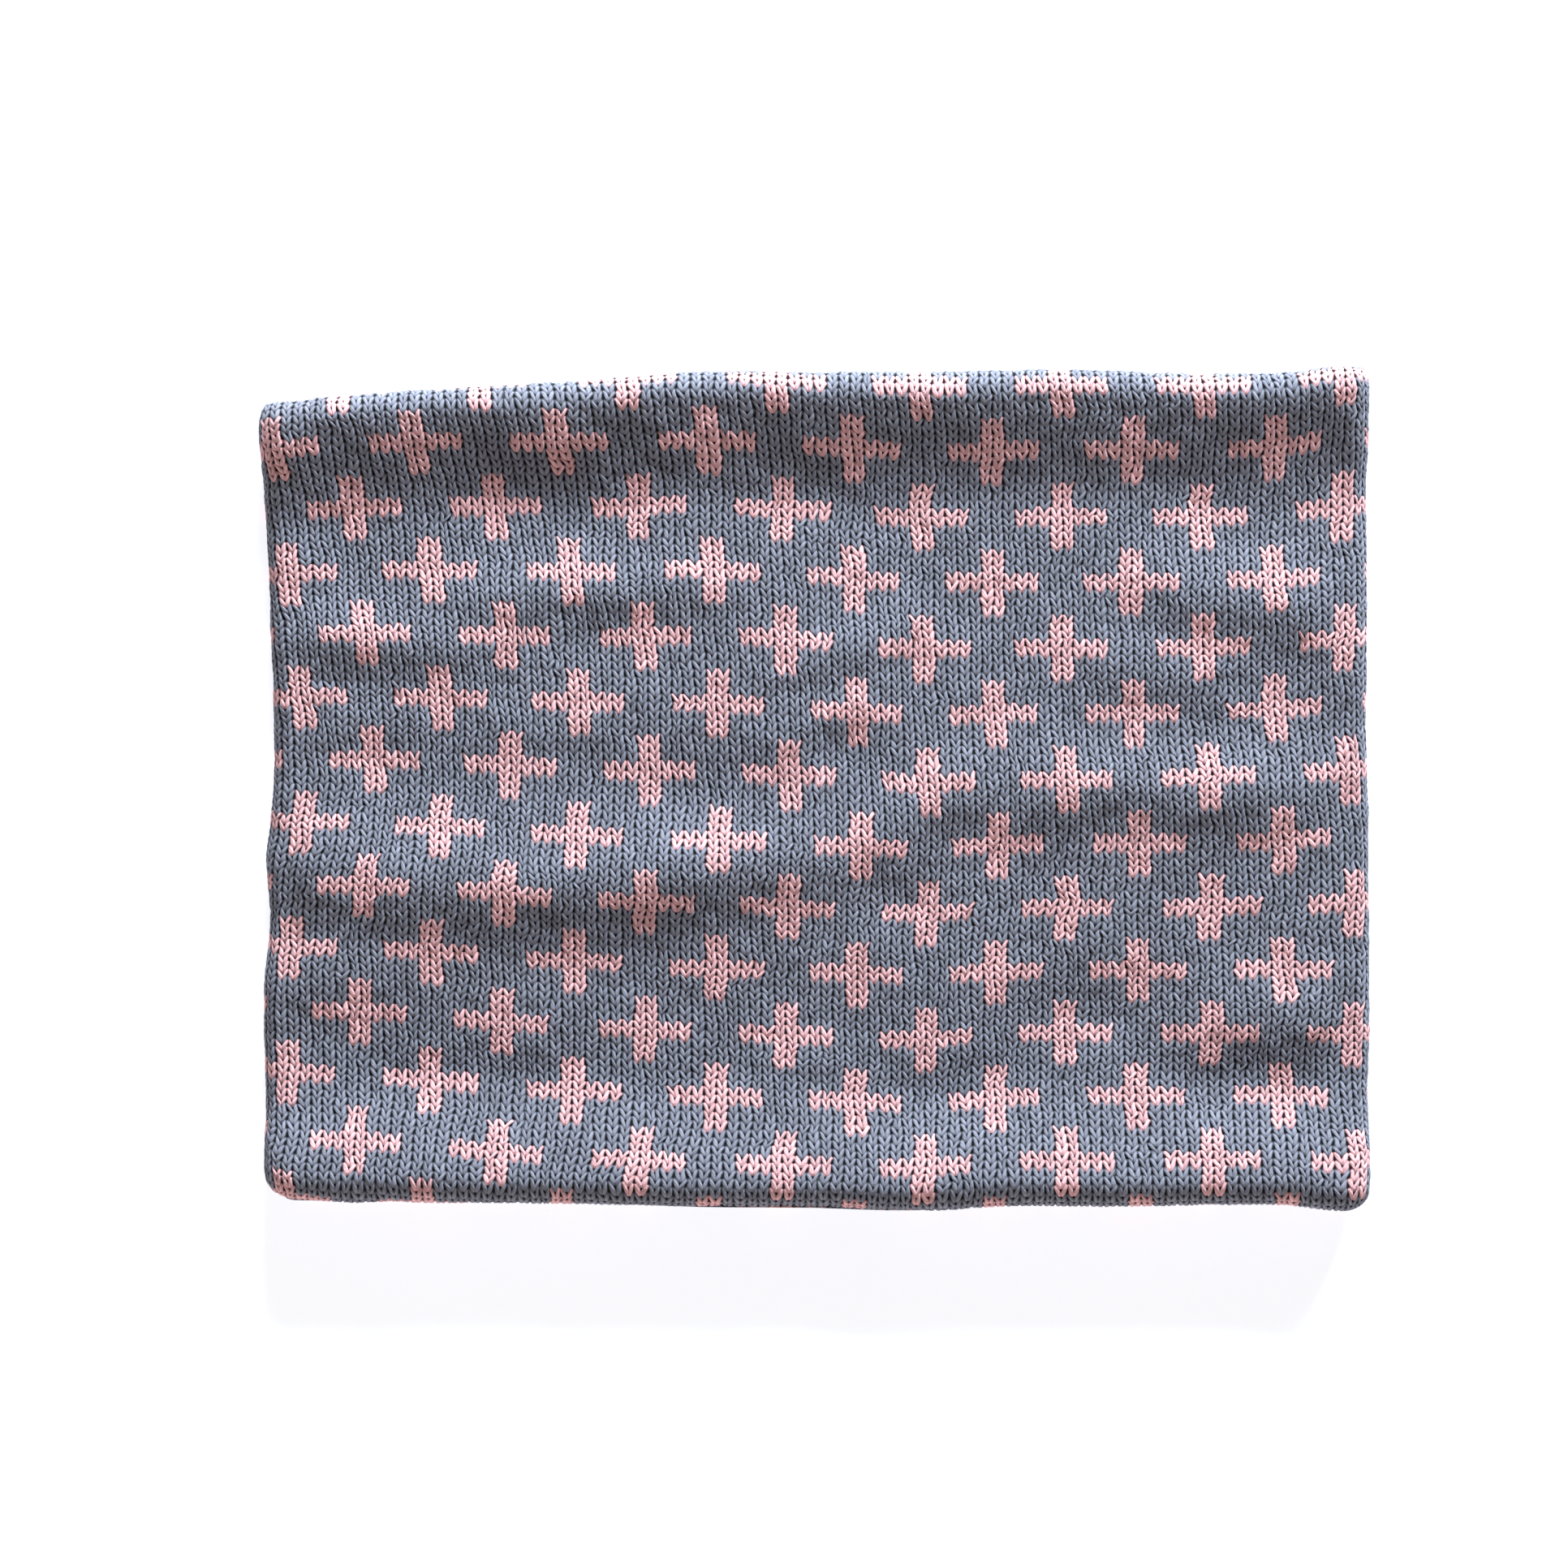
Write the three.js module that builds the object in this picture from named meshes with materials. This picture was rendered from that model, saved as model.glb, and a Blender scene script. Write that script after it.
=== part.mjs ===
// Infinity scarf, laid flat: a stranded-knit tube turned in on itself, so that the cloth is double all
// round and every edge is a fold. The neck goes through it along Y, between the front and the back.
// Millimetres, +Z up, +X to the right and +Y up as it lies. The origin is on the underside, in the middle.
import * as THREE from "three";

// Gauge of the knitting, and the stitches round the tube and up the loop from fold to fold.
const WALE = 100 / 29;
const COURSE = 100 / 42.2;
const WALES_ROUND = 192;
const COURSES_UP = 107;

// The cloth wall, the air between the two layers of one side, and the closed neck opening.
const CLOTH = 2.3;
const SEAM_GAP = 0.3;
const NECK_GAP = 0.5;

// From the middle plane of a doubled side to its faces, where it lies flat and in its springy folded edge.
const FLAT_DEPTH = CLOTH + SEAM_GAP / 2;
const EDGE = { frontOut: 6.3, frontIn: 4.1, back: 3.7 };
const EDGE_ROUND = 7;
const EDGE_REACH = 40;

// A fold takes up cloth in its turn, so the loop lies a little smaller than its count of stitches.
const SIDE_TURN = NECK_GAP / 2 + 2 * FLAT_DEPTH;
const END_TAKE_UP = 2.3;
const HALF_WIDTH = (WALES_ROUND * WALE) / 4 - (SIDE_TURN - CLOTH / 2) * (Math.PI / 2 - 1);
const HALF_HEIGHT = (COURSES_UP * COURSE) / 2 - END_TAKE_UP;

// How far each edge lies inside that plain rectangle, along the loop and up it.
const ENDS = [
  { x: -164, top: 11.8, bottom: 3.4 },
  { x: -150, top: 10.2, bottom: 3.0 },
  { x: -120, top: 7.9, bottom: 2.9 },
  { x: -90, top: 6.6, bottom: 2.6 },
  { x: -60, top: 5.0, bottom: 1.9 },
  { x: -35, top: 2.6, bottom: 1.1 },
  { x: 0, top: 2.7, bottom: 0.8 },
  { x: 28, top: 3.2, bottom: 0.0 },
  { x: 55, top: 2.3, bottom: 1.8 },
  { x: 80, top: 1.7, bottom: 1.9 },
  { x: 120, top: 3.4, bottom: 1.9 },
  { x: 140, top: 2.8, bottom: 1.8 },
  { x: 152, top: 0.9, bottom: 0.4 },
  { x: 164, top: 0.0, bottom: 0.6 },
];
const SIDES = [
  { y: -125, left: 0.8, right: 0.2 },
  { y: -86, left: 1.6, right: -0.3 },
  { y: -48, left: 2.0, right: -0.3 },
  { y: -19, left: 2.5, right: -1.0 },
  { y: 0, left: 4.0, right: -0.4 },
  { y: 28, left: 4.1, right: 0.5 },
  { y: 57, left: 2.7, right: 0.7 },
  { y: 86, left: 1.1, right: 0.0 },
  { y: 105, left: -0.5, right: -0.6 },
  { y: 125, left: -0.3, right: -1.0 },
];
const CORNERS = { leftTop: 3, rightTop: 4, leftBottom: 7, rightBottom: 5 };
// Where a folded edge meets a side fold its reach follows this power of its lean, which squares the corner.
const CORNER_SQUARE = 0.5;
// The edge tables are read at this share of the way out, or this far inside the crest of a side fold.
const READ_AT = { share: 0.94, fromCrest: 1.5 };

// Soft ridges in the front layer: middle, reach along and across, height, and turn from the X axis.
const RIDGES = [
  { name: "middle, left", x: -100, y: -28, along: 62, across: 17, height: 4.6, turn: 1 },
  { name: "middle, right of it", x: -20, y: -23, along: 34, across: 13, height: 3.3, turn: 4 },
  { name: "middle, step up", x: 31, y: -7, along: 20, across: 11, height: 2.4, turn: 38 },
  { name: "middle, right", x: 98, y: -2, along: 56, across: 13, height: 3.2, turn: -1 },
  { name: "upper ripple", x: -70, y: 57, along: 42, across: 8, height: 2.1, turn: 2 },
  { name: "slant", x: 10, y: 40, along: 27, across: 9, height: 1.4, turn: 24 },
  { name: "short slant", x: 2, y: 19, along: 20, across: 8, height: 2.0, turn: 20 },
  { name: "right hollow's rim", x: 126, y: 55, along: 34, across: 12, height: 2.5, turn: -8 },
  { name: "right ripple", x: 102, y: 34, along: 22, across: 9, height: 1.4, turn: -12 },
  { name: "left ripple", x: -128, y: 43, along: 26, across: 8, height: 1.5, turn: -6 },
  { name: "lower left ripple", x: -138, y: -56, along: 24, across: 11, height: 1.5, turn: -6 },
  { name: "lower right ripple", x: 134, y: -68, along: 30, across: 11, height: 2.4, turn: 2 },
];
// Beside the side folds the ridges start this far in and are whole this much further in.
const RIDGE_FADE = { from: 4, over: 14 };

// Steps of the solids: over a flat side, round a side fold, and round a folded edge.
const STEPS = { frontAcross: 24, hiddenAcross: 8, turn: 4, edge: 4 };
// How far in from the top of an edge's rise the rows of points lie, finer down the rise.
const ROWS = [0, 5, 10, 15, 20, 25, 31, 38, 46, 54, 62, 70, 78, 86, 94, 102, 110];

const smooth = (t) => {
  const c = Math.min(1, Math.max(0, t));
  return c * c * (3 - 2 * c);
};

// Reads a table at a place, in a smooth curve through its rows.
function read(table, key, column, at) {
  const last = table.length - 1;
  if (at <= table[0][key]) return table[0][column];
  if (at >= table[last][key]) return table[last][column];
  const i = table.findIndex((row) => row[key] > at);
  const slope = (row) => {
    const before = table[Math.max(0, row - 1)];
    const after = table[Math.min(last, row + 1)];
    return (after[column] - before[column]) / (after[key] - before[key]);
  };
  const span = table[i][key] - table[i - 1][key];
  const t = (at - table[i - 1][key]) / span;
  const lift = slope(i - 1) * t * (1 - t) * (1 - t) - slope(i) * t * t * (1 - t);
  return THREE.MathUtils.lerp(table[i - 1][column], table[i][column], smooth(t)) + span * lift;
}

// The cloth's edge on the left (-1) or right (1) side, at a height.
function sideEdge(side, y) {
  return side * (HALF_WIDTH - read(SIDES, "y", side < 0 ? "left" : "right", y));
}

// The cloth's top (1) or bottom (-1) edge, with its corners rounded off.
function endEdge(end, x) {
  const side = Math.sign(x) || 1;
  const radius = CORNERS[(side < 0 ? "left" : "right") + (end > 0 ? "Top" : "Bottom")];
  const limit = Math.abs(sideEdge(side, end * HALF_HEIGHT));
  const into = Math.min(1, Math.max(0, (Math.abs(x) - (limit - radius)) / radius));
  const corner = radius * (1 - Math.sqrt(1 - into * into));
  const inside = read(ENDS, "x", end > 0 ? "top" : "bottom", x);
  return end * (HALF_HEIGHT - inside - corner);
}

// 0 where the loop lies flat, rising to 1 at a folded edge.
function fullness(x, y) {
  const fromEdge = Math.min(endEdge(1, x) - y, y - endEdge(-1, x));
  return smooth(1 - fromEdge / EDGE_REACH);
}

// Height of the soft ridges above the flat cloth, fading out towards the side folds.
function ridgeHeight(x, y) {
  let height = 0;
  for (const ridge of RIDGES) {
    const turn = THREE.MathUtils.degToRad(ridge.turn);
    const dx = x - ridge.x;
    const dy = y - ridge.y;
    const along = (dx * Math.cos(turn) + dy * Math.sin(turn)) / ridge.along;
    const across = (dy * Math.cos(turn) - dx * Math.sin(turn)) / ridge.across;
    height += ridge.height * Math.exp(-(along ** 4) - across * across);
  }
  const fromSide = HALF_WIDTH - Math.abs(x) - RIDGE_FADE.from;
  return height * smooth(fromSide / RIDGE_FADE.over) * (1 - fullness(x, y));
}

// Middle planes and depths of the two doubled sides at a point.
function section(x, y) {
  const full = fullness(x, y);
  const rise = (edge) => THREE.MathUtils.lerp(FLAT_DEPTH, edge, full);
  const back = rise(EDGE.back);
  const frontIn = rise(EDGE.frontIn);
  const frontOut = rise(EDGE.frontOut) + ridgeHeight(x, y);
  return { back, backZ: back, frontIn, frontOut, frontZ: 2 * back + NECK_GAP + frontIn };
}

// A point of the doubled loop. The column says where it is round the loop, the row where it is up it.
// layer is 1 for the outer layer and -1 for the one turned in; inside is true for the face that looks
// into the doubled cloth.
function loopPoint(column, row, layer, inside) {
  const half = column.face === "front" ? 1 : -1;
  const bend = Math.sin(row.angle);
  const lean = Math.cos(row.angle);
  const nominalX = column.turn === undefined
    ? THREE.MathUtils.lerp(sideEdge(-1, 0), sideEdge(1, 0), column.share) * READ_AT.share
    : column.side * (HALF_WIDTH - READ_AT.fromCrest - 2 * EDGE.back * (1 - Math.sin(column.turn)));
  const top = endEdge(1, nominalX) - EDGE_ROUND;
  const bottom = endEdge(-1, nominalX) + EDGE_ROUND;
  const round = EDGE_ROUND - (inside ? CLOTH : 0);
  let y;
  if (row.end > 0) y = top + round * bend;
  else if (row.end < 0) y = bottom - round * bend;
  else if (row.fromTop !== undefined) y = top - row.fromTop;
  else y = bottom + row.fromBottom;
  const clampedY = Math.min(top, Math.max(bottom, y));
  const sideAt = (side) => section(side * (HALF_WIDTH - SIDE_TURN), clampedY);
  const turnX = (side) => {
    const s = sideAt(side);
    return sideEdge(side, clampedY) - side * ((s.frontZ - s.backZ) / 2 + (s.frontOut + s.back) / 2);
  };
  // Distance from the middle plane of the doubled cloth to this face, outwards.
  const offset = (depth, share = lean) => {
    const face = depth - (inside ? CLOTH : 0);
    return layer * Math.max(SEAM_GAP / 2, row.end ? face * share : face);
  };
  if (column.turn === undefined) {
    const x = THREE.MathUtils.lerp(turnX(-1), turnX(1), column.share);
    const s = section(x, clampedY);
    if (half > 0) return [x, y, s.frontZ + offset(layer > 0 ? s.frontOut : s.frontIn)];
    return [x, y, s.backZ - offset(s.back)];
  }
  const s = sideAt(column.side);
  const radius = (s.frontZ - s.backZ) / 2;
  const middle = (s.frontZ + s.backZ) / 2;
  const frontDepth = layer > 0 ? s.frontOut : s.frontIn;
  const depth = THREE.MathUtils.lerp(frontDepth, (frontDepth + s.back) / 2, column.turn / (Math.PI / 2));
  const backDepth = THREE.MathUtils.lerp(s.back, (frontDepth + s.back) / 2, column.turn / (Math.PI / 2));
  const depthHere = half > 0 ? depth : backDepth;
  const reach = radius + offset(depthHere, lean ** CORNER_SQUARE);
  const x = turnX(column.side) + column.side * reach * Math.sin(column.turn);
  const rise = Math.max(SEAM_GAP / 2, (radius + offset(depthHere)) * Math.cos(column.turn));
  return [x, y, middle + half * rise];
}

// The columns of one face of the loop, from the crest of its left side fold to that of its right one.
function columnsOf(face, across) {
  const turned = (side) =>
    Array.from({ length: STEPS.turn }, (_, i) => {
      const turn = ((i + 1) / STEPS.turn) * (Math.PI / 2);
      return { face, side, turn };
    });
  const flat = Array.from({ length: across + 1 }, (_, i) => ({ face, share: i / across }));
  return [...turned(-1).reverse(), ...flat, ...turned(1)];
}

// The rows of points up one layer, from the crest of its bottom edge to that of its top edge.
function rowsUp() {
  const edge = (end) =>
    Array.from({ length: STEPS.edge }, (_, i) => {
      const angle = ((i + 1) / STEPS.edge) * (Math.PI / 2);
      return { end, angle };
    });
  const lower = ROWS.map((fromBottom) => ({ end: 0, angle: 0, fromBottom }));
  const upper = ROWS.map((fromTop) => ({ end: 0, angle: 0, fromTop }));
  return [...edge(-1).reverse(), ...lower, ...upper.reverse(), ...edge(1)];
}

// A closed wall of cloth: a grid of points for each of its two faces, joined round the rim.
function clothWall(face, layer, across) {
  const columns = columnsOf(face, across);
  const rows = rowsUp();
  const wide = columns.length;
  const high = rows.length;
  const points = [];
  for (const inside of [false, true])
    for (const row of rows)
      for (const column of columns) points.push(...loopPoint(column, row, layer, inside));
  const at = (inside, j, i) => (inside ? wide * high : 0) + j * wide + i;
  const triangles = [];
  const flip = (face === "front") === layer > 0;
  const quad = (a, b, c, d) => {
    if (flip) triangles.push(a, b, c, a, c, d);
    else triangles.push(a, c, b, a, d, c);
  };
  for (let j = 0; j < high - 1; j++)
    for (let i = 0; i < wide - 1; i++) {
      quad(at(false, j, i), at(false, j, i + 1), at(false, j + 1, i + 1), at(false, j + 1, i));
      quad(at(true, j, i), at(true, j + 1, i), at(true, j + 1, i + 1), at(true, j, i + 1));
    }
  for (let i = 0; i < wide - 1; i++) {
    quad(at(true, 0, i), at(true, 0, i + 1), at(false, 0, i + 1), at(false, 0, i));
    quad(at(false, high - 1, i), at(false, high - 1, i + 1), at(true, high - 1, i + 1), at(true, high - 1, i));
  }
  for (let j = 0; j < high - 1; j++) {
    quad(at(false, j, 0), at(false, j + 1, 0), at(true, j + 1, 0), at(true, j, 0));
    quad(at(true, j, wide - 1), at(true, j + 1, wide - 1), at(false, j + 1, wide - 1), at(false, j, wide - 1));
  }
  const geometry = new THREE.BufferGeometry();
  geometry.setAttribute("position", new THREE.Float32BufferAttribute(points, 3));
  geometry.setIndex(triangles);
  geometry.computeVertexNormals();
  return geometry;
}

const knit = { color: 0x6c6f7c, roughness: 0.95, metalness: 0 };

// The stretches of the one knitted tube, as they lie on each other.
const STRETCHES = [
  { name: "front_outer", face: "front", layer: 1, across: STEPS.frontAcross },
  { name: "front_turned_in", face: "front", layer: -1, across: STEPS.hiddenAcross },
  { name: "back_turned_in", face: "back", layer: -1, across: STEPS.hiddenAcross },
  { name: "back_outer", face: "back", layer: 1, across: STEPS.hiddenAcross },
];

const scarf = new THREE.Group();
for (const stretch of STRETCHES) {
  const geometry = clothWall(stretch.face, stretch.layer, stretch.across);
  const mesh = new THREE.Mesh(geometry, new THREE.MeshStandardMaterial(knit));
  mesh.name = stretch.name;
  scarf.add(mesh);
}

export default scarf;
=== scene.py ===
# %% [markdown]
# # An infinity scarf, laid flat
#
# This scarf is one long tube of stranded knitting. The tube is turned in on itself, so the cloth is double
# all round and every edge is a fold. It lies on a pale floor, seen from straight above.
# The lesson lays real rows and columns of stitches over the folded form, in small pieces that stay light.

# %% Load the measured frame
import math

import bmesh
import bpy
import numpy as np
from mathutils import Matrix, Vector


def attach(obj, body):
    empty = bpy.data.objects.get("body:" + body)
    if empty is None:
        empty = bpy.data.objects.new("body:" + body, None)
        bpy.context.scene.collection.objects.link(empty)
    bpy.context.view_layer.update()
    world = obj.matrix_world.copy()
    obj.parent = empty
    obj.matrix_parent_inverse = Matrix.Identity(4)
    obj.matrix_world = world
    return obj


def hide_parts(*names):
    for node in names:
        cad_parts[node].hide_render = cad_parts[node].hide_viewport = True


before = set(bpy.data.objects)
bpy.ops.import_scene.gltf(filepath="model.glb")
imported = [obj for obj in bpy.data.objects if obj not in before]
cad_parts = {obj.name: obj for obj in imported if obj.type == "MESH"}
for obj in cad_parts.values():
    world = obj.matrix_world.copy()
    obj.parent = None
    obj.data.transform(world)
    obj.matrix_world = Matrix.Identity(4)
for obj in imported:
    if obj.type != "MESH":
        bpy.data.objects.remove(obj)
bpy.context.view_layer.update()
print("frame nodes:", sorted(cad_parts))

# %% [markdown]
# ## The gauge of the knitting
#
# A knitter counts wales, the columns of stitches, and courses, the rows. Everything here is set out in
# those two counts, because the plus signs, the stitches and the folds all follow them. 96 wales lie across
# the front and 96 across the back. All lengths are in millimetres until a mesh is finished.

# %% Gauge and wall
WALE = 100 / 29
COURSE = 100 / 42.2
WALES_ACROSS = 96
COURSES_UP = 107

CLOTH = 2.3
LAYER_GAP = 0.3
NECK_GAP = 0.5
FLAT_DEPTH = CLOTH + LAYER_GAP / 2

FRONT_OUT_DEPTH = 6.3
FRONT_IN_DEPTH = 4.1
BACK_DEPTH = 3.7
EDGE_ROUND = 7.0
EDGE_REACH = 40.0

SIDE_TURN = NECK_GAP / 2 + 2 * FLAT_DEPTH
HALF_ROUND = WALES_ACROSS * WALE / 2
HALF_UP = COURSES_UP * COURSE / 2
HALF_WIDTH = HALF_ROUND - (SIDE_TURN - CLOTH / 2) * (math.pi / 2 - 1)
HALF_HEIGHT = HALF_UP - 2.3

END_ARC = 9.0
FLAT_UP = HALF_UP - END_ARC
EDGES_READ_TO = 156.0
print(f"flat loop about {2 * HALF_WIDTH:.0f} by {2 * HALF_HEIGHT:.0f} mm")

# %% [markdown]
# ## The outline of the laid loop
#
# The folded edges aren't straight: the left end droops at the top, and the left side pulls in halfway up.
# A short table says how far each edge lies inside a plain rectangle. A smooth curve through its rows gives
# every place between, which is how a pattern cutter draws an edge through a few marks.

# %% Edge tables
ENDS = [  # across, top edge in, bottom edge in
    (-164, 11.8, 3.4),
    (-150, 10.2, 3.0),
    (-120, 7.9, 2.9),
    (-90, 6.6, 2.6),
    (-60, 5.0, 1.9),
    (-35, 2.6, 1.1),
    (0, 2.7, 0.8),
    (28, 3.2, 0.0),
    (55, 2.3, 1.8),
    (80, 1.7, 1.9),
    (120, 3.4, 1.9),
    (140, 2.8, 1.8),
    (152, 0.9, 0.4),
    (164, 0.0, 0.6),
]
SIDES = [  # up, left side in, right side in
    (-125, 0.8, 0.2),
    (-86, 1.6, -0.3),
    (-48, 2.0, -0.3),
    (-19, 2.5, -1.0),
    (0, 4.0, -0.4),
    (28, 4.1, 0.5),
    (57, 2.7, 0.7),
    (86, 1.1, 0.0),
    (105, -0.5, -0.6),
    (125, -0.3, -1.0),
]
CORNERS = {"left_top": 3, "right_top": 4, "left_bottom": 7, "right_bottom": 5}
CORNER_SQUARE = 0.5


def smooth(t):
    t = np.clip(t, 0.0, 1.0)
    return t * t * (3.0 - 2.0 * t)


def curve(places, values, at):
    """A smooth curve through a table's rows, level beyond its ends."""
    places = np.asarray(places, float)
    values = np.asarray(values, float)
    last = len(places) - 1
    rows = np.arange(last + 1)
    before = np.maximum(rows - 1, 0)
    after = np.minimum(rows + 1, last)
    slopes = (values[after] - values[before]) / (places[after] - places[before])
    i = np.clip(np.searchsorted(places, at, side="right"), 1, last)
    span = places[i] - places[i - 1]
    t = np.clip((at - places[i - 1]) / span, 0.0, 1.0)
    lift = slopes[i - 1] * t * (1 - t) ** 2 - slopes[i] * t * t * (1 - t)
    return values[i - 1] + (values[i] - values[i - 1]) * smooth(t) + span * lift


def column(table, n):
    return [row[n] for row in table]


def side_edge(side, y):
    inset = np.where(side < 0, curve(column(SIDES, 0), column(SIDES, 1), y),
                     curve(column(SIDES, 0), column(SIDES, 2), y))
    return side * (HALF_WIDTH - inset)


def end_edge(end, x):
    """The top (1) or bottom (-1) edge of the loop, its corners rounded off."""
    side = np.where(x < 0, -1.0, 1.0)
    name = "top" if end > 0 else "bottom"
    radius = np.where(side < 0, CORNERS["left_" + name], CORNERS["right_" + name])
    limit = np.abs(side_edge(side, np.full_like(x, end * HALF_HEIGHT)))
    into = np.clip((np.abs(x) - (limit - radius)) / radius, 0.0, 1.0)
    corner = radius * (1 - np.sqrt(1 - into * into))
    inset = curve(column(ENDS, 0), column(ENDS, 1 if end > 0 else 2), x)
    return end * (HALF_HEIGHT - inset - corner)


print("left side at mid height:", round(float(side_edge(-1.0, np.array(0.0))), 1), "mm")

# %% [markdown]
# ## The lie of the cloth
#
# Knitting is springy, so its folded ends stand up as fat rolls and the middle lies flatter. Soft ridges
# cross the front where the layers under it are bunched. Each is a long smooth mound, placed one by one, as
# one would push up clay with a thumb. A simulation would find a different lie each time.

# %% Ridges and rolls
RIDGES = [  # x, y, reach along, reach across, height, turn in degrees
    (-100, -28, 62, 17, 4.6, 1),
    (-20, -23, 34, 13, 3.3, 4),
    (31, -7, 20, 11, 2.4, 38),
    (98, -2, 56, 13, 3.2, -1),
    (-70, 57, 42, 8, 2.1, 2),
    (10, 40, 27, 9, 1.4, 24),
    (2, 19, 20, 8, 2.0, 20),
    (126, 55, 34, 12, 2.5, -8),
    (102, 34, 22, 9, 1.4, -12),
    (-128, 43, 26, 8, 1.5, -6),
    (-138, -56, 24, 11, 1.5, -6),
    (134, -68, 30, 11, 2.4, 2),
]
RIDGE_STOPS_AT = 4
RIDGE_FADE = 14


def fullness(x, y):
    """1 at a rolled end, falling to 0 where the loop lies flat."""
    from_edge = np.minimum(end_edge(1, x) - y, y - end_edge(-1, x))
    return smooth(1 - from_edge / EDGE_REACH)


def ridge_height(x, y):
    height = np.zeros_like(x)
    for rx, ry, along, across, high, turn in RIDGES:
        c, s = math.cos(math.radians(turn)), math.sin(math.radians(turn))
        far = ((x - rx) * c + (y - ry) * s) / along
        wide = ((y - ry) * c - (x - rx) * s) / across
        height += high * np.exp(-(far ** 4) - wide * wide)
    from_side = HALF_WIDTH - np.abs(x) - RIDGE_STOPS_AT
    return height * smooth(from_side / RIDGE_FADE) * (1 - fullness(x, y))


def section(x, y):
    """Depths of the layers and the height of each side's middle plane."""
    full = fullness(x, y)
    back = FLAT_DEPTH + (BACK_DEPTH - FLAT_DEPTH) * full
    front_in = FLAT_DEPTH + (FRONT_IN_DEPTH - FLAT_DEPTH) * full
    front_out = FLAT_DEPTH + (FRONT_OUT_DEPTH - FLAT_DEPTH) * full + ridge_height(x, y)
    return back, front_in, front_out, back, 2 * back + NECK_GAP + front_in


def fold_radius(side, y):
    """Radius of a side fold's turn, larger where the ends are rolled."""
    back, front_in, front_out, back_z, front_z = section(side * (HALF_WIDTH - SIDE_TURN), y)
    return (front_z - back_z) / 2 + (front_out + back) / 2


# %% [markdown]
# ## Laying a stitch on the form
#
# A place on the tube is two lengths measured along the cloth: how far round, from the middle of the
# front, and how far up. Past a crest the cloth turns through half a circle and runs on underneath. One
# function turns those two lengths into a point, so the stitches never stretch apart at a fold.

# %% Form of the loop
def lay(around, up, inward, turned_in):
    """Point in millimetres of the cloth's face, or of a face that lies inward of it."""
    end = np.where(up < 0, -1.0, 1.0)
    high = np.abs(up)
    angle = np.clip((high - FLAT_UP) / (2 * END_ARC), 0.0, 1.0) * math.pi
    under = np.maximum(high - FLAT_UP - 2 * END_ARC, 0.0)
    share_up = (end * (np.minimum(high, FLAT_UP) - under) + FLAT_UP) / (2 * FLAT_UP)
    if turned_in:
        angle = math.pi - angle

    def height_at(x):
        top = end_edge(1, x) - EDGE_ROUND
        bottom = end_edge(-1, x) + EDGE_ROUND
        return bottom + (top - bottom) * share_up

    side = np.where(around < 0, -1.0, 1.0)
    away = np.abs(around)
    fold_x = side * (HALF_WIDTH - SIDE_TURN)
    arc = math.pi / 2 * fold_radius(side, height_at(fold_x))
    flat = HALF_ROUND - arc
    turn = np.clip((away - flat) / (2 * arc), 0.0, 1.0) * math.pi
    beyond = np.maximum(away - flat - 2 * arc, 0.0)
    share = side * (np.minimum(away, flat) - beyond) / flat

    flat_y = height_at(share * EDGES_READ_TO + side * SIDE_TURN * np.sin(turn))
    y = flat_y + end * (EDGE_ROUND - inward) * np.sin(angle)
    lean = np.cos(angle)

    def turn_x(at_side):
        at_side = np.full_like(flat_y, at_side)
        return side_edge(at_side, flat_y) - at_side * fold_radius(at_side, flat_y)

    x = (turn_x(-1.0) * (1 - share) + turn_x(1.0) * (1 + share)) / 2
    back, front_in, front_out, back_z, front_z = section(x, flat_y)
    front = np.where(lean >= 0, front_out, front_in)
    depth = front + (back - front) * turn / math.pi
    radius = (front_z - back_z) / 2
    squared = np.sign(lean) * np.abs(lean) ** CORNER_SQUARE
    x = x + side * (radius + (depth - inward) * squared) * np.sin(turn)
    z = (front_z + back_z) / 2 + (radius + (depth - inward) * lean) * np.cos(turn)
    return np.stack([x, y, z], axis=-1)


crest = lay(np.array([0.0]), np.array([HALF_UP]), np.array([0.0]), False)[0]
print("top fold at", np.round(crest, 1), "mm")

# %% [markdown]
# ## How the stitches have drifted
#
# Nobody lays a scarf dead straight. At the left the rows ride up towards the top, in the middle they sag,
# and halfway up the wales bow inwards. The table says how far the cloth has slid on the form, at five
# places across and eight heights.

# %% Drift of wales and courses
DRIFT_ACROSS = (-150, -75, 0, 75, 150)
DRIFT = [  # height, slide to the right, slide up
    (-116, (1.0, -0.5, 0.5, 0.0, 1.5), (4.0, -0.5, -2.0, -1.5, -1.0)),
    (-91, (-0.5, 0.5, 1.0, 0.0, 2.0), (5.5, 0.5, -1.5, -1.5, -1.0)),
    (-53, (-0.5, 0.5, 1.0, 0.5, 3.0), (7.0, 2.0, -1.5, -2.0, -1.0)),
    (-15, (2.5, 0.5, 1.5, 0.5, 2.0), (8.0, 2.5, -1.0, -2.0, 0.5)),
    (22, (1.0, 0.5, 0.5, -0.5, 0.5), (9.0, 5.0, 1.5, -1.0, 2.0)),
    (60, (-1.0, -0.5, 0.5, -0.5, 0.5), (10.0, 7.0, 3.5, 0.5, 3.0)),
    (98, (-1.5, -2.5, 0.0, -1.0, -2.0), (11.0, 8.5, 4.0, 2.0, 4.5)),
    (116, (-1.5, -3.0, -1.0, -2.5, -3.5), (11.0, 8.5, 4.0, 2.0, 4.5)),
]
DRIFT_STEP = DRIFT_ACROSS[1] - DRIFT_ACROSS[0]
FULL_PAST_FOLD = 20


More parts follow.
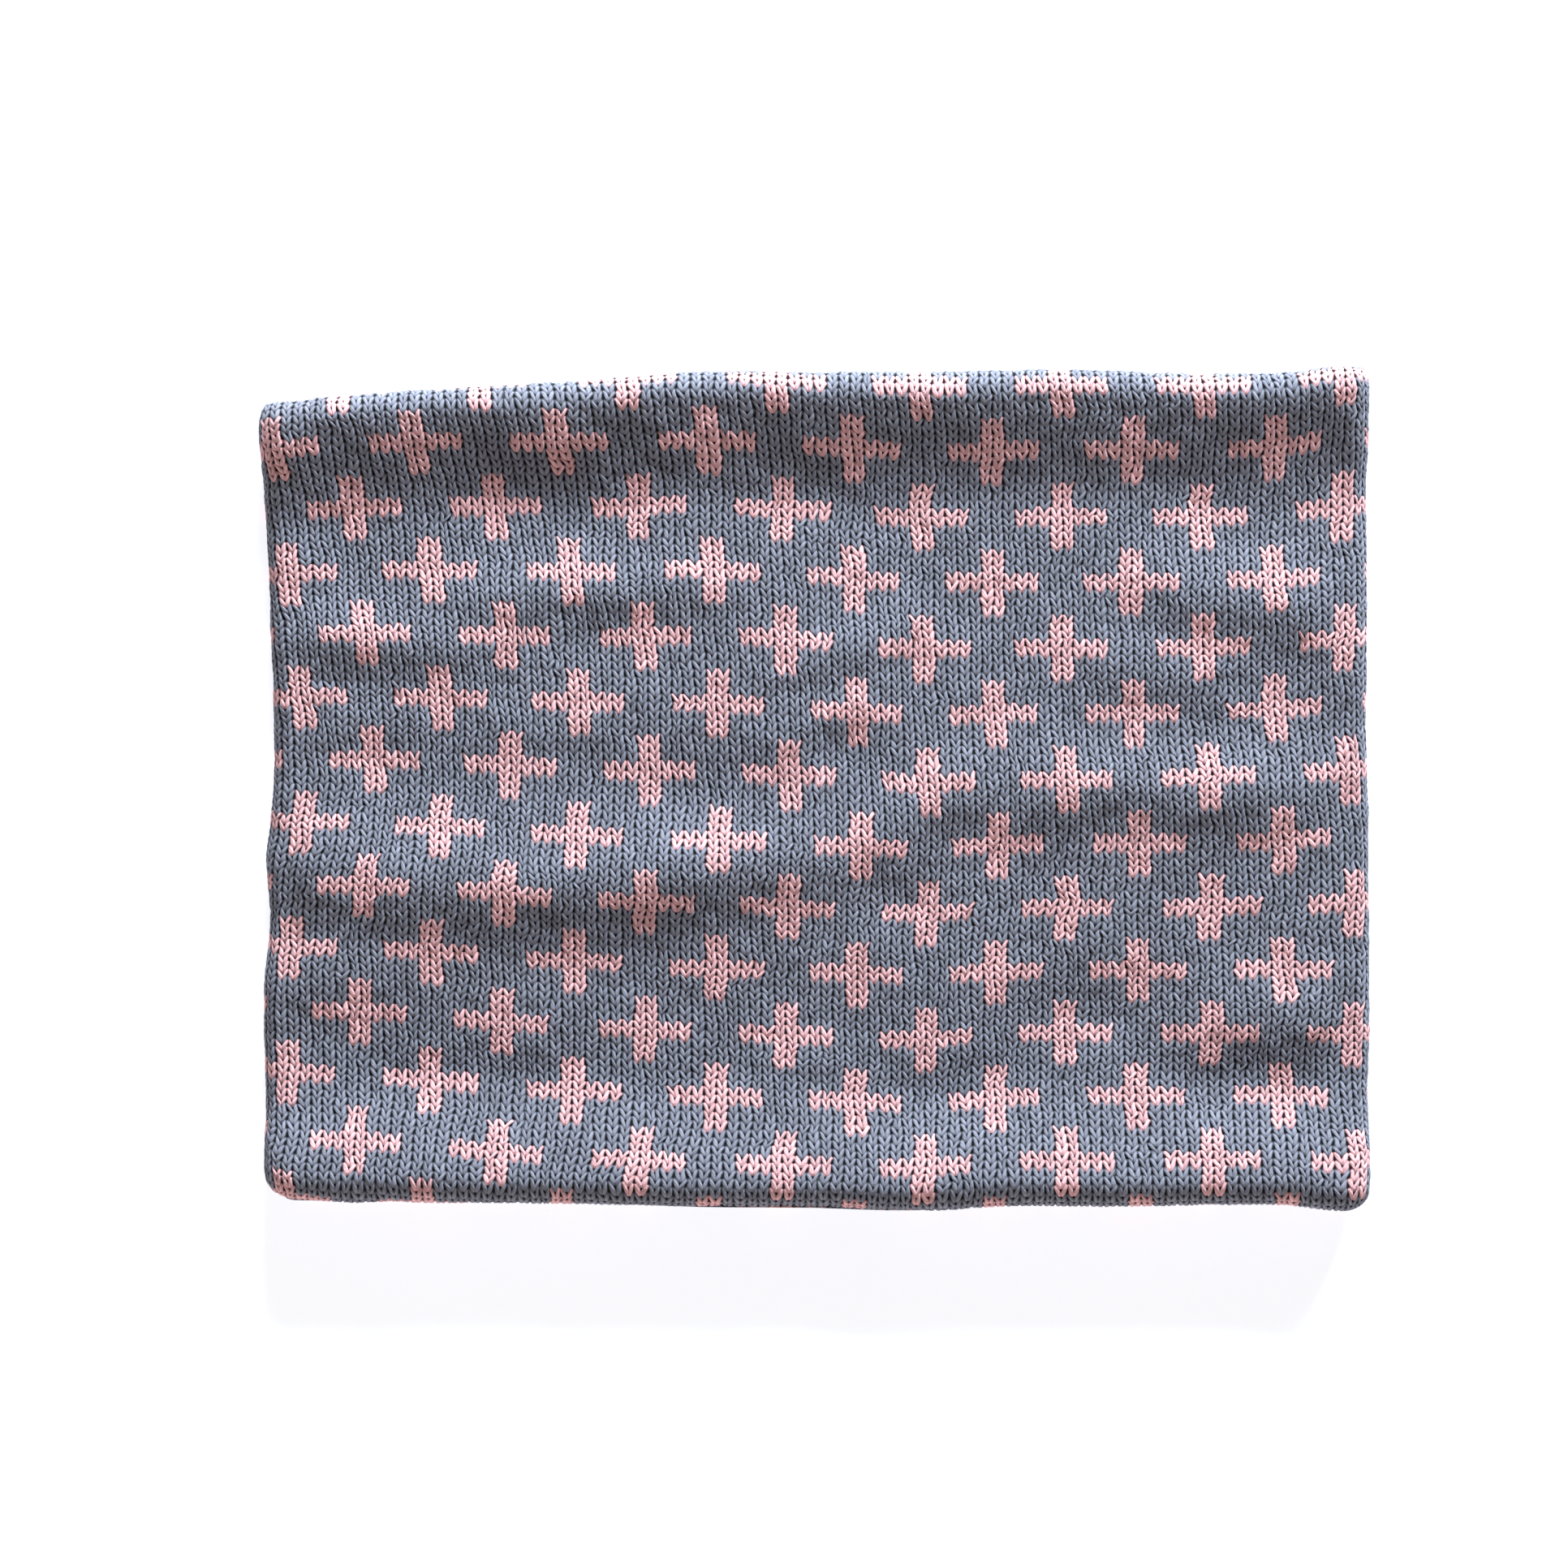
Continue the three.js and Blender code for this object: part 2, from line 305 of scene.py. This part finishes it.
def slide(which, around, up):
    """How far the cloth has slid, fading out towards the middle of the back."""
    side = np.where(around < 0, -1.0, 1.0)
    away = np.abs(around)
    place = side * np.minimum(away, 2 * HALF_ROUND - away)
    fade = smooth((2 * HALF_ROUND - away) / (HALF_ROUND - FULL_PAST_FOLD))
    heights = column(DRIFT, 0)
    marks = [curve(heights, [row[which][n] for row in DRIFT], up) for n in range(5)]
    marks = np.stack(marks)
    t = np.clip((place - DRIFT_ACROSS[0]) / DRIFT_STEP, 0.0, 4.0)
    i = np.clip(t.astype(int), 0, 3)
    t = t - i
    here = np.arange(len(t))
    a, b = marks[i, here], marks[i + 1, here]
    slope_a = (marks[np.minimum(i + 1, 4), here] - marks[np.maximum(i - 1, 0), here]) / 2
    slope_b = (marks[np.minimum(i + 2, 4), here] - marks[i, here]) / 2
    value = a + (b - a) * smooth(t) + slope_a * t * (1 - t) ** 2 - slope_b * t * t * (1 - t)
    return value * fade


def lay_stitch(wale, course, inward, turned_in=False):
    """Point of the cloth at a wale and course count. Courses past the top fold are turned in."""
    around = ((wale + WALES_ACROSS / 2) % (2 * WALES_ACROSS) - WALES_ACROSS) * WALE
    up = (course - COURSES_UP / 2) * COURSE
    if turned_in:
        return lay(around, 2 * HALF_UP - up, inward, True)
    height = np.clip(up, -HALF_UP, HALF_UP)
    return lay(around + slide(1, around, height), up + slide(2, around, height), inward, False)


# %% [markdown]
# ## The shape of one stitch
#
# On the right side of the knitting each stitch is a V of two plump legs that lean apart. A leg is a long
# rounded lozenge, a little higher at its foot, where it comes out over the stitch below, and its top tucks
# under the next row. The feet of a V touch in the middle of the wale. Between two wales one dark hole is left
# in every row, where the legs of two neighbours part and one looks in at the yarn that is carried behind.

# %% Stitch relief
LEG_TILT = math.radians(22)
LEG_HALF_LENGTH = 1.95
LEG_HALF_WIDTH = 0.62
LEG_MIDDLE = 0.455
LEG_BLUNT = 2.3
FOOT_RISE = 0.08
HOLE = -0.45
WALE_GAP = 1.0
GAP_SLOPE = 3.3
GAP_SHALLOWEST = 0.55
GAP_DEEPEST = 1.45
CHEVRON = WALE / 2 / math.tan(LEG_TILT) / COURSE
RELIEF = 0.75


def leg_height(wale, course):
    """0 at the bottom of a hole and about 1 on top of a leg."""
    across = np.abs(2 * (wale - np.floor(wale)) - 1)
    highest = np.full_like(wale, HOLE)
    for nearby in (-1, 0, 1):
        dx = (across - LEG_MIDDLE) * WALE / 2
        dy = (course - np.floor(course) - nearby - 0.5) * COURSE
        along = (dx * math.sin(LEG_TILT) + dy * math.cos(LEG_TILT)) / LEG_HALF_LENGTH
        beside = (dx * math.cos(LEG_TILT) - dy * math.sin(LEG_TILT)) / LEG_HALF_WIDTH
        dome = np.sqrt(np.maximum(1 - np.abs(along) ** LEG_BLUNT - beside ** 2, 0.0))
        leg = np.where(dome > 0, dome - FOOT_RISE * along, HOLE)
        highest = np.maximum(highest, leg)
    dots = 0.5 - 0.5 * np.cos(2 * math.pi * course)
    highest -= WALE_GAP * dots * np.clip(GAP_SLOPE * (across - 1) + 1, 0.0, 1.0)
    return (np.maximum(highest, HOLE) - HOLE) / (1 - HOLE)


marks = leg_height(np.array([0.69, 0.69, 0.0]), np.array([0.5, 0.0, 0.45])) * RELIEF
print("crown, crease and hole:", np.round(marks, 2), "mm")

# %% [markdown]
# ## No two stitches alike
#
# Tension changes from stitch to stitch, and the floats of the second yarn pucker the cloth from behind.
# Random numbers on the stitch lattice, from one fixed seed and joined smoothly, push each stitch a little
# sideways, up or out. Coarser lattices of the same kind give the soft swells a hand can feel.

# %% Unevenness
LATTICE = np.random.default_rng(29).normal(size=(5, 192, 160))
WALE_PUSH = 0.075
COURSE_PUSH = 0.09
PATCH_PUSH = 0.10
SWELLS = [  # height, lattice, wales apart, courses apart
    (0.10, 2, 1, 1),
    (0.20, 3, 4, 5),
    (0.45, 2, 12, 9),
]


def uneven(which, wale, course, wales_apart=1.0, courses_apart=1.0):
    """Smooth random number for a place in the knitting, with a spread of about one."""
    u = wale / wales_apart
    v = (course + 20) / courses_apart
    i, j = np.floor(u).astype(int), np.floor(v).astype(int)
    s, t = smooth(u - i), smooth(v - j)
    count = int(192 / wales_apart)
    left, right = i % count, (i + 1) % count
    low, high = j % 160, (j + 1) % 160
    table = LATTICE[which]
    below = table[left, low] * (1 - s) + table[right, low] * s
    above = table[left, high] * (1 - s) + table[right, high] * s
    return below * (1 - t) + above * t


print("spread of one lattice:", round(float(LATTICE[0].std()), 2))

# %% [markdown]
# ## Knitting a stretch of cloth
#
# A sheet of cloth starts as a flat bmesh grid whose lines run along the wales and across the courses, with
# each row of points bent into chevrons so that it follows the Vs. A coarser grid makes the wrong side, and
# bridging their rims closes the shell. Then every point moves to its own place on the form. Sampling each
# stitch the same way keeps the pieces regular, and two maps are laid at the same time: one counts stitches
# for the material, the other spreads the piece out flat.

# %% Make a knitted shell
MM = 0.001
GRID_GAP = 0.1
WRONG_SIDE_IN = CLOTH - 0.4
RIGHT_SIDE_MAP = (0.005, 0.475)
WRONG_SIDE_MAP = (0.965, 0.012)
UP_MAP = (0.005, 0.495)


def on_map(span, place):
    """A place from -1 to 1 on the grid, moved to the flat map by that side's start and half size."""
    start, half = span
    return start + half * (place + 1)


def knit_shell(name, wales, courses, per_wale, per_course, wrong_side_every, peak,
               turned_in=False, swells=0.0):
    """One shell of knitting, with so many grid steps to a wale and to a course on its right side.

    Where a stitch is as high as peak, from 0 in a hole to 1 on a leg, it lies on the form's face."""
    first_wale, last_wale = wales
    first_course, last_course = courses
    across = (last_wale - first_wale) * per_wale
    up = (last_course - first_course) * per_course
    bm = bmesh.new()
    bmesh.ops.create_grid(bm, x_segments=across, y_segments=up, size=1.0)
    wrong = bmesh.ops.create_grid(bm, x_segments=across // wrong_side_every,
                                  y_segments=up // wrong_side_every, size=1.0)["verts"]
    bmesh.ops.translate(bm, verts=wrong, vec=(0, 0, -GRID_GAP))
    below = set(wrong)
    bmesh.ops.reverse_faces(bm, faces=[f for f in bm.faces if f.verts[0] in below])
    rims = [e for e in bm.edges if e.is_boundary]
    bmesh.ops.bridge_loops(bm, edges=rims)
    mesh = bpy.data.meshes.new(name)
    bm.to_mesh(mesh)
    bm.free()

    flat = np.empty(len(mesh.vertices) * 3)
    mesh.vertices.foreach_get("co", flat)
    flat = flat.reshape(-1, 3)
    is_right = flat[:, 2] > -GRID_GAP / 2
    wale = first_wale + (flat[:, 0] + 1) / 2 * (last_wale - first_wale)
    course = first_course + (flat[:, 1] + 1) / 2 * (last_course - first_course)
    bend = CHEVRON * (np.abs(2 * (wale - np.floor(wale)) - 1) - LEG_MIDDLE)
    course = course + bend * is_right

    inward = np.where(is_right, 0.0, WRONG_SIDE_IN)
    at_wale = wale + WALE_PUSH * uneven(0, wale, course) + PATCH_PUSH * uneven(3, wale, course, 3, 4)
    at_course = course + COURSE_PUSH * uneven(1, wale, course) + PATCH_PUSH * uneven(4, wale, course, 4, 3)
    point = lay_stitch(at_wale, at_course, inward, turned_in)
    step = 0.05
    along_row = (lay_stitch(wale + step, course, inward, turned_in)
                 - lay_stitch(wale - step, course, inward, turned_in))
    along_wale = (lay_stitch(wale, course + step, inward, turned_in)
                  - lay_stitch(wale, course - step, inward, turned_in))
    out = np.cross(along_row, along_wale)
    out /= np.linalg.norm(out, axis=1)[:, None]
    lift = RELIEF * (leg_height(wale, course) - peak) * (per_wale > 1)
    swell = sum(high * uneven(which, wale, course, wide, tall) for high, which, wide, tall in SWELLS)
    point += out * ((lift + swell * swells) * is_right)[:, None]
    point[:, 2] = np.maximum(point[:, 2], 0.0)
    mesh.vertices.foreach_set("co", (point * MM).ravel())

    corners = np.empty(len(mesh.loops), dtype=np.int32)
    mesh.loops.foreach_get("vertex_index", corners)
    stitches = mesh.uv_layers.new(name="Stitches")
    stitches.data.foreach_set("uv", np.stack([wale, course], axis=-1)[corners].ravel())
    spread_u = np.where(is_right, on_map(RIGHT_SIDE_MAP, flat[:, 0]), on_map(WRONG_SIDE_MAP, flat[:, 0]))
    spread_v = on_map(UP_MAP, flat[:, 1])
    spread = mesh.uv_layers.new(name="OFBake")
    spread.data.foreach_set("uv", np.stack([spread_u, spread_v], axis=-1)[corners].ravel())
    mesh.polygons.foreach_set("use_smooth", np.ones(len(mesh.polygons), dtype=bool))
    mesh.update()

    piece = bpy.data.objects.new(name, mesh)
    bpy.context.scene.collection.objects.link(piece)
    print(name, "triangles:", sum(len(p.vertices) - 2 for p in mesh.polygons))
    return piece


# %% [markdown]
# ## The four stretches of the tube
#
# The front is what the camera sees, so it gets the finest stitches, in four strips that meet in the valley
# between two wales. It runs on round the side folds and under the rolled ends, and the back takes over
# there. The two layers that are turned in show only as a dark line between the rolls.

# %% Front, back and turned-in cloth
START, FINISH = -5, 110

front_strips = []
for number, first in enumerate((-2, 23, 48, 73), start=1):
    strip = knit_shell(f"front_knit_{number}", (first, first + 25), (START, FINISH), 6, 4, 5, 0.7,
                       swells=1.0)
    front_strips.append(strip)

back_strips = []
for number, first in enumerate((98, 144), start=1):
    strip = knit_shell(f"back_knit_{number}", (first, first + 46), (START, FINISH), 5, 2, 5, 1.05)
    back_strips.append(strip)

TURNED = (COURSES_UP + 1, 2 * COURSES_UP - 1)
front_inside = knit_shell("front_knit_turned_in", (0, 96), TURNED, 1, 1, 3, 0, turned_in=True)
back_inside = knit_shell("back_knit_turned_in", (96, 192), TURNED, 1, 1, 3, 0, turned_in=True)

# %% [markdown]
# ## What each piece is
#
# Every piece is a length of the one knitted cloth. Each hangs from the root body, and the part of the
# frame that it stands for is hidden.

def declare_cloth(piece, node):
    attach(piece, "root")
    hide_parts(node)


for strip in front_strips:
    declare_cloth(strip, "front_outer")
for strip in back_strips:
    declare_cloth(strip, "back_outer")
declare_cloth(front_inside, "front_turned_in")
declare_cloth(back_inside, "back_turned_in")
knitted = front_strips + back_strips + [front_inside, back_inside]
print("knitted pieces:", len(knitted))

# %% [markdown]
# ## Two yarns from one chart
#
# A knitter works this pattern from a chart: a plus sign eight stitches wide and eight rows high, repeated
# every twelve wales and sixteen courses, with a second set half a repeat over. The material does the same
# sum for each stitch, so both legs of a V always take one yarn. Sums as Math nodes keep it free of pictures.

# %% Helpers for material sums
def sum_node(tree, operation, *values, clamp=False):
    node = tree.nodes.new("ShaderNodeMath")
    node.operation = operation
    node.use_clamp = clamp
    for socket, value in zip(node.inputs, values):
        if isinstance(value, bpy.types.NodeSocket):
            tree.links.new(value, socket)
        else:
            socket.default_value = value
    return node.outputs[0]


def srgb(r, g, b):
    """A colour read off as 0 to 255, as the linear colour that a shader takes."""
    def linear(c):
        c = c / 255
        return c / 12.92 if c <= 0.04045 else ((c + 0.055) / 1.055) ** 2.4
    return (linear(r), linear(g), linear(b), 1.0)


print("slate yarn, linear:", [round(c, 3) for c in srgb(118, 124, 142)[:3]])

# %% Stitch sums: which stitch, which leg, how high
REPEAT_WALES = 12
REPEAT_COURSES = 16
FIRST_PLUS_WALE = 3
FIRST_PLUS_COURSE = 63
ARM_REACH = 4.0
ARM_HALF_WIDTH = 1.0


def stitch_group():
    group = bpy.data.node_groups.new("stitch", "ShaderNodeTree")
    face = group.interface
    for name in ("wale", "row", "along", "beside", "height", "pink", "leg"):
        face.new_socket(name, in_out="OUTPUT", socket_type="NodeSocketFloat")

    def m(operation, *values, clamp=False):
        return sum_node(group, operation, *values, clamp=clamp)

    place = group.nodes.new("ShaderNodeUVMap")
    place.uv_map = "Stitches"
    split = group.nodes.new("ShaderNodeSeparateXYZ")
    group.links.new(place.outputs[0], split.inputs[0])
    u, v = split.outputs[0], split.outputs[1]
    wale = m("FLOOR", u)
    part = m("SUBTRACT", u, wale)
    signed = m("MULTIPLY_ADD", part, 2.0, -1.0)
    across = m("ABSOLUTE", signed)
    dx = m("MULTIPLY", m("SUBTRACT", across, LEG_MIDDLE), WALE / 2)
    base = m("FLOOR", v)
    dy = m("MULTIPLY", m("SUBTRACT", m("SUBTRACT", v, base), 0.5), COURSE)
    s, c = math.sin(LEG_TILT), math.cos(LEG_TILT)
    highest, row, along, beside = HOLE, base, 0.0, 0.0
    for nearby in (-1, 0, 1):
        dy_here = m("SUBTRACT", dy, nearby * COURSE)
        along_here = m("ADD", m("MULTIPLY", dx, s), m("MULTIPLY", dy_here, c))
        beside_here = m("SUBTRACT", m("MULTIPLY", dx, c), m("MULTIPLY", dy_here, s))
        far = m("POWER", m("ABSOLUTE", m("DIVIDE", along_here, LEG_HALF_LENGTH)), LEG_BLUNT)
        wide = m("POWER", m("ABSOLUTE", m("DIVIDE", beside_here, LEG_HALF_WIDTH)), 2.0)
        inside = m("SUBTRACT", 1.0, m("ADD", far, wide))
        dome = m("SQRT", m("MAXIMUM", inside, 0.0))
        sloped = m("SUBTRACT", dome, m("MULTIPLY", along_here, FOOT_RISE / LEG_HALF_LENGTH))
        leg = m("ADD", sloped, m("MULTIPLY", m("LESS_THAN", inside, 0.0), -9.0))
        better = m("GREATER_THAN", leg, highest)
        highest = m("MAXIMUM", leg, highest)
        row = m("MULTIPLY_ADD", better, m("SUBTRACT", m("ADD", base, float(nearby)), row), row)
        along = m("MULTIPLY_ADD", better, m("SUBTRACT", along_here, along), along)
        beside = m("MULTIPLY_ADD", better, m("SUBTRACT", beside_here, beside), beside)
    near_gap = m("MULTIPLY_ADD", across, GAP_SLOPE, 1 - GAP_SLOPE, clamp=True)
    dots = m("MULTIPLY_ADD", m("COSINE", m("MULTIPLY", v, 2 * math.pi)), -0.5, 0.5)
    gap_place = group.nodes.new("ShaderNodeCombineXYZ")
    group.links.new(m("FLOOR", m("ADD", u, 0.5)), gap_place.inputs[0])
    group.links.new(base, gap_place.inputs[1])
    luck = group.nodes.new("ShaderNodeTexWhiteNoise")
    luck.noise_dimensions = "2D"
    group.links.new(gap_place.outputs[0], luck.inputs["Vector"])
    depth = m("MULTIPLY_ADD", luck.outputs[0], (GAP_DEEPEST - GAP_SHALLOWEST) * WALE_GAP,
              GAP_SHALLOWEST * WALE_GAP)
    # These dots sink the relief between the wales, and the colour ramps darken them too, as painted shade.
    lowered = m("SUBTRACT", highest, m("MULTIPLY", m("MULTIPLY", near_gap, dots), depth))
    height = m("DIVIDE", m("SUBTRACT", m("MAXIMUM", lowered, HOLE), HOLE), 1 - HOLE)

    def plus(da, db):
        stem = m("MULTIPLY", m("LESS_THAN", da, ARM_HALF_WIDTH), m("LESS_THAN", db, ARM_REACH))
        arms = m("MULTIPLY", m("LESS_THAN", da, ARM_REACH), m("LESS_THAN", db, ARM_HALF_WIDTH))
        return m("MAXIMUM", stem, arms)

    from_stem = m("PINGPONG", m("ADD", wale, 0.5 - FIRST_PLUS_WALE), REPEAT_WALES / 2)
    from_arm = m("PINGPONG", m("ADD", row, 0.5 - FIRST_PLUS_COURSE), REPEAT_COURSES / 2)
    first = plus(from_stem, from_arm)
    second = plus(m("SUBTRACT", REPEAT_WALES / 2, from_stem), m("SUBTRACT", REPEAT_COURSES / 2, from_arm))
    pink = m("MAXIMUM", first, second)

    end = group.nodes.new("NodeGroupOutput")
    results = (wale, row, along, m("MULTIPLY", beside, m("SIGN", signed)), height, pink,
               m("SIGN", signed))
    for socket, value in zip(end.inputs, results):
        group.links.new(value, socket)
    return group


stitch = stitch_group()
print("stitch sums:", len(stitch.nodes), "nodes")

# %% [markdown]
# ## The look of the wool
#
# The cloth is a soft two-ply wool blend. Light catches the crown of each leg and sinks into the holes, the
# twist of the plies shows as a slanting groove, and a haze of short fibres softens every edge. Each yarn's
# colour is also darkened with the height of the stitch, as painted shade in the holes and the creases: the
# ground yarn runs from a painted near black in the holes to a cool grey on top, which the blue of the main
# light turns to slate, and the second yarn from a painted dark rose brown to pale pink.

# %% Wool finish
FIBRES_ACROSS = 5.0
FIBRES_ALONG = 1.3
ROW_SHIFT = 3.7
WALE_SHIFT = 9.1
PLY_LENGTH = 1.9
PLY_WIDTH = 0.62
BRIGHTNESS = {"least": 0.42, "fibre": 0.70, "stitch": 0.30, "heather": 0.20}
BUMP = {"leg": 0.38, "ply": 0.10, "fibre": 0.16, "haze": 0.06}


def wool_finish():
    material = bpy.data.materials.new("stranded_wool")
    material.use_nodes = True
    tree = material.node_tree
    tree.nodes.clear()

    def m(operation, *values, clamp=False):
        return sum_node(tree, operation, *values, clamp=clamp)

    def mix(kind, amount, first, second):
        node = tree.nodes.new("ShaderNodeMix")
        node.data_type = "RGBA"
        node.blend_type = kind
        for socket, value in ((node.inputs[0], amount), (node.inputs[6], first), (node.inputs[7], second)):
            if isinstance(value, bpy.types.NodeSocket):
                tree.links.new(value, socket)
            else:
                socket.default_value = value
        return node.outputs[2]

    def ramp(value, stops):
        node = tree.nodes.new("ShaderNodeValToRGB")
        node.color_ramp.interpolation = "EASE"
        for n, (place, colour) in enumerate(stops):
            stop = node.color_ramp.elements[n] if n < 2 else node.color_ramp.elements.new(place)
            stop.position = place
            stop.color = colour
        tree.links.new(value, node.inputs[0])
        return node.outputs[0]

    counts = tree.nodes.new("ShaderNodeGroup")
    counts.node_tree = stitch
    out = counts.outputs

    fibre_place = tree.nodes.new("ShaderNodeCombineXYZ")
    tree.links.new(m("MULTIPLY", out["beside"], FIBRES_ACROSS), fibre_place.inputs[0])
    tree.links.new(m("MULTIPLY", out["along"], FIBRES_ALONG), fibre_place.inputs[1])
    own_place = m("MULTIPLY_ADD", out["row"], ROW_SHIFT, m("MULTIPLY", out["wale"], WALE_SHIFT))
    tree.links.new(own_place, fibre_place.inputs[2])
    fibre = tree.nodes.new("ShaderNodeTexNoise")
    fibre.inputs["Scale"].default_value = 1.6
    fibre.inputs["Detail"].default_value = 3.0
    tree.links.new(fibre_place.outputs[0], fibre.inputs["Vector"])

    tone_place = tree.nodes.new("ShaderNodeCombineXYZ")
    tree.links.new(m("ADD", out["wale"], m("MULTIPLY", out["leg"], 0.25)), tone_place.inputs[0])
    tree.links.new(out["row"], tone_place.inputs[1])
    tone = tree.nodes.new("ShaderNodeTexWhiteNoise")
    tone.noise_dimensions = "2D"
    tree.links.new(tone_place.outputs[0], tone.inputs["Vector"])

    place = tree.nodes.new("ShaderNodeTexCoord")
    heather = tree.nodes.new("ShaderNodeTexNoise")
    heather.inputs["Scale"].default_value = 55.0
    heather.inputs["Detail"].default_value = 4.0
    tree.links.new(place.outputs["Object"], heather.inputs["Vector"])
    haze = tree.nodes.new("ShaderNodeTexNoise")
    haze.inputs["Scale"].default_value = 3500.0
    haze.inputs["Detail"].default_value = 3.0
    tree.links.new(place.outputs["Object"], haze.inputs["Vector"])

    # Painted shade: both ramps darken the yarn towards the holes and the creases between legs, by stitch
    # height.
    ground_yarn_and_painted_shade = ramp(out["height"], [(0.0, srgb(2, 2, 5)), (0.98, srgb(150, 149, 163)),
                                  (0.46, srgb(79, 79, 88))])
    rose_yarn_and_painted_shade = ramp(out["height"], [(0.0, srgb(22, 5, 7)), (0.98, srgb(251, 194, 197)),
                                (0.22, srgb(30, 9, 11)), (0.48, srgb(215, 151, 152))])
    colour = mix("MIX", out["pink"], ground_yarn_and_painted_shade, rose_yarn_and_painted_shade)
    spotted = m("ADD", m("MULTIPLY", tone.outputs[0], BRIGHTNESS["stitch"]),
                m("MULTIPLY", heather.outputs[0], BRIGHTNESS["heather"]))
    streaked = m("ADD", m("MULTIPLY", fibre.outputs[0], BRIGHTNESS["fibre"]), spotted)
    brightness = m("ADD", BRIGHTNESS["least"], streaked)
    grey = tree.nodes.new("ShaderNodeCombineXYZ")
    for socket in grey.inputs:
        tree.links.new(brightness, socket)
    colour = mix("MULTIPLY", 1.0, colour, grey.outputs[0])

    twist = m("ADD", m("MULTIPLY", out["along"], math.pi / PLY_LENGTH),
              m("MULTIPLY", out["beside"], math.pi / PLY_WIDTH))
    ply = m("ABSOLUTE", m("SINE", twist))
    grain = m("ADD", m("MULTIPLY", fibre.outputs[0], BUMP["fibre"]),
              m("MULTIPLY", haze.outputs[0], BUMP["haze"]))
    twisted = m("ADD", m("MULTIPLY", m("MULTIPLY", ply, out["height"]), BUMP["ply"]), grain)
    relief = m("ADD", m("MULTIPLY", out["height"], BUMP["leg"]), twisted)
    bump = tree.nodes.new("ShaderNodeBump")
    bump.inputs["Strength"].default_value = 1.0
    bump.inputs["Distance"].default_value = MM
    tree.links.new(relief, bump.inputs["Height"])

    shader = tree.nodes.new("ShaderNodeBsdfPrincipled")
    tree.links.new(colour, shader.inputs["Base Color"])
    tree.links.new(bump.outputs[0], shader.inputs["Normal"])
    shader.inputs["Roughness"].default_value = 0.92
    shader.inputs["Specular IOR Level"].default_value = 0.25
    shader.inputs["Sheen Weight"].default_value = 0.35
    shader.inputs["Sheen Roughness"].default_value = 0.45
    shader.inputs["Sheen Tint"].default_value = (0.78, 0.85, 1.0, 1.0)
    end = tree.nodes.new("ShaderNodeOutputMaterial")
    tree.links.new(shader.outputs[0], end.inputs[0])
    return material


wool = wool_finish()
for piece in knitted:
    piece.data.materials.append(wool)
print("finish:", wool.name)

# %% [markdown]
# ## Floor, light and camera
#
# The scarf lies on a white sweep, whose paper glows a little so that it stays pale in a low light. One
# broad soft light, slightly blue, stands low beyond the top edge and a little to the right. It rakes over
# the ridges and makes the light and dark bands, and every stitch throws a small shadow downwards. A much
# weaker warm light on the near side, lower still, reaches only the roll at the bottom. The white room fills
# the rest. The camera looks straight down through a long lens.

# %% Floor
floor_bm = bmesh.new()
bmesh.ops.create_grid(floor_bm, x_segments=2, y_segments=2, size=3.0)
floor_mesh = bpy.data.meshes.new("floor")
floor_bm.to_mesh(floor_mesh)
floor_bm.free()
floor = bpy.data.objects.new("floor", floor_mesh)
bpy.context.scene.collection.objects.link(floor)
paper = bpy.data.materials.new("white_paper")
paper.use_nodes = True
paper_shader = paper.node_tree.nodes["Principled BSDF"]
paper_shader.inputs["Base Color"].default_value = (0.93, 0.935, 0.95, 1.0)
paper_shader.inputs["Roughness"].default_value = 0.9
paper_shader.inputs["Emission Color"].default_value = (0.93, 0.95, 1.0, 1.0)
paper_shader.inputs["Emission Strength"].default_value = 0.77
floor_mesh.materials.append(paper)

# %% Light
world = bpy.data.worlds.new("white_room")
bpy.context.scene.world = world
world.use_nodes = True
world.node_tree.nodes["Background"].inputs[0].default_value = (1.0, 0.93, 0.88, 1.0)
world.node_tree.nodes["Background"].inputs[1].default_value = 0.19


def soft_light(name, place, aim, size, power, colour):
    data = bpy.data.lights.new(name, "AREA")
    data.shape = "RECTANGLE"
    data.size, data.size_y = size
    data.energy = power
    data.color = colour
    light = bpy.data.objects.new(name, data)
    bpy.context.scene.collection.objects.link(light)
    light.location = place
    light.rotation_euler = (Vector(aim) - Vector(place)).to_track_quat("-Z", "Y").to_euler()
    return light


soft_light("key", (0.40, 1.66, 0.54), (0, 0, 0), (1.1, 0.4), 109.0, (0.80, 0.92, 1.0))
soft_light("fill", (-0.2, -1.6, 0.22), (0, 0, 0), (1.2, 0.4), 10.0, (1.0, 0.95, 0.91))

# %% Camera
VIEW_WIDTH = 0.461
VIEW_HEIGHT_ABOVE = 1.2
VIEW_CENTRE = (-0.00895, 0.0008)
FACE_HEIGHT = 0.010
camera_data = bpy.data.cameras.new("camera")
camera_data.sensor_width = 36.0
camera_data.lens = 36.0 * VIEW_HEIGHT_ABOVE / VIEW_WIDTH
camera = bpy.data.objects.new("camera", camera_data)
bpy.context.scene.collection.objects.link(camera)
camera.location = (*VIEW_CENTRE, VIEW_HEIGHT_ABOVE + FACE_HEIGHT)
bpy.context.scene.camera = camera
bpy.context.scene.view_settings.view_transform = "Standard"
print("lens", round(camera_data.lens, 1), "mm")
